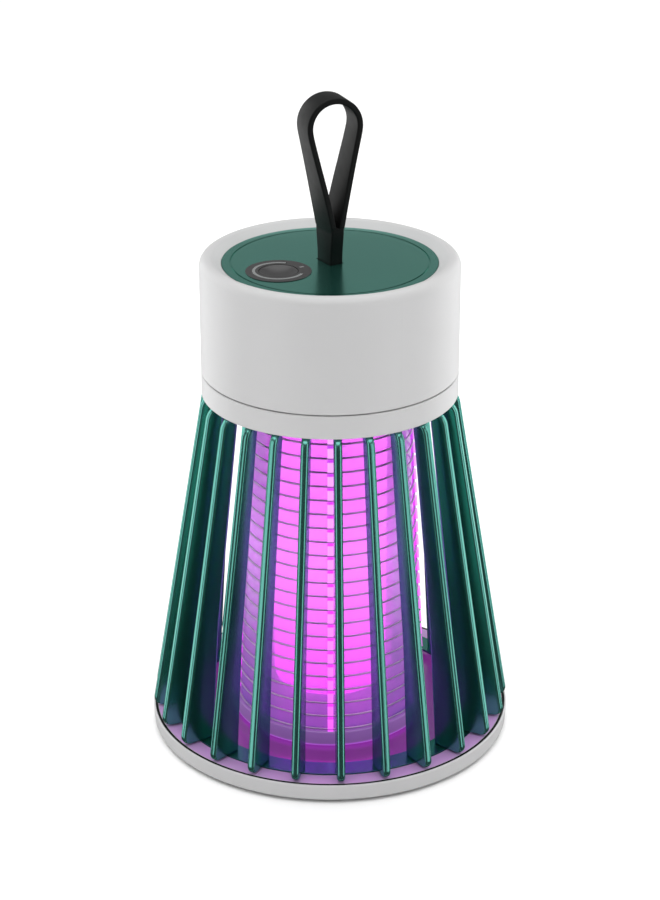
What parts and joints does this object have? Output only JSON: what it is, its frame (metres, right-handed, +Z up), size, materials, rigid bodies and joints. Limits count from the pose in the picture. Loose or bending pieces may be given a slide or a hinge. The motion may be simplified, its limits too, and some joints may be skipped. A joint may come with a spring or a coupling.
{
  "type": "electric bug zapper",
  "caption": "Portable electric bug zapper: conical cage of upright fins round a lit wire grid, white cap with push button and strap loop, twist-off base with insect tray.",
  "frame": {"origin": "centre of the circle the rubber feet stand on, on the table surface", "axes": "+Z up along the axis of the cage and cap, -Y towards the power button, +Y towards the charging socket"},
  "size_m": [0.1262, 0.1262, 0.2275],
  "materials": {
    "white_plastic": "fine satin moulded ABS",
    "green_plastic": "deep green moulded ABS with a soft gloss",
    "black_plastic": "satin black ABS",
    "light_guide": "translucent grey light guide",
    "bare_wire": "drawn stainless steel wire",
    "frosted_plastic": "frosted translucent plastic",
    "diffuser": "translucent frosted cone, lit from inside",
    "lamp": "glowing violet-pink lamp tube",
    "grey_plastic": "light grey ABS",
    "led": "LED package",
    "circuit_board": "green solder mask",
    "transformer_core": "ferrite core and taped winding",
    "capacitor_case": "moulded film capacitor case",
    "cell_sleeve": "shrink sleeve on a steel can",
    "plated_steel": "nickel plated steel",
    "black_silicone": "satin black silicone rubber",
    "foot_rubber": "matt black rubber"
  },
  "bodies": {
    "housing": {"cap_shell": "white_plastic", "cap_skirt": "white_plastic", "top_plate": "green_plastic", "button_bezel": "black_plastic", "status_light_ring": "light_guide", "cage_top_ring": "green_plastic", "cage_fins": "green_plastic", "cage_bottom_ring": "green_plastic", "grid_wires_live": "bare_wire", "grid_wires_return": "bare_wire", "grid_comb_posts": "frosted_plastic", "grid_base_ring": "frosted_plastic", "lamp_diffuser": "diffuser", "lamp_tube": "lamp", "led_column": "grey_plastic", "uv_leds": "led", "chassis_plate": "grey_plastic", "control_board": "circuit_board", "driver_board": "circuit_board", "transformer": "transformer_core", "capacitor": "capacitor_case", "tact_switch": "black_plastic", "status_leds": "led", "battery_cell": "cell_sleeve", "battery_cradle": "black_plastic", "usb_board": "circuit_board", "usb_socket": "plated_steel", "board_screws": "plated_steel", "cap_screws": "plated_steel", "strap_anchor_pin": "plated_steel", "strap_root": "black_silicone"},
    "power_button": {"power_button": "black_plastic"},
    "strap": {"carry_strap": "black_silicone"},
    "tray": {"insect_tray": "green_plastic"},
    "base": {"base_ring": "white_plastic", "base_gasket": "foot_rubber", "rubber_feet": "foot_rubber", "pivot_screw": "plated_steel"}
  },
  "joints": [
    {"name": "button_press", "type": "slide", "parent": "housing", "child": "power_button", "axis": [0, 0, -1], "range_m": [0, 0.0008], "stiffness_N_per_m": 800, "springref_m": -0.0005},
    {"name": "strap_bend", "type": "hinge", "parent": "housing", "child": "strap", "pos_m": [0, 0, 0.1728], "axis": [1, 0, 0], "range_deg": [-60, 60], "stiffness_Nm_per_rad": 0.02},
    {"name": "base_drop", "type": "slide", "parent": "housing", "child": "tray", "axis": [0, 0, -1], "range_m": [0, 0.04]},
    {"name": "base_twist", "type": "hinge", "parent": "tray", "child": "base", "pos_m": [0, 0, 0], "axis": [0, 0, 1], "range_deg": [0, 25]}
  ]
}
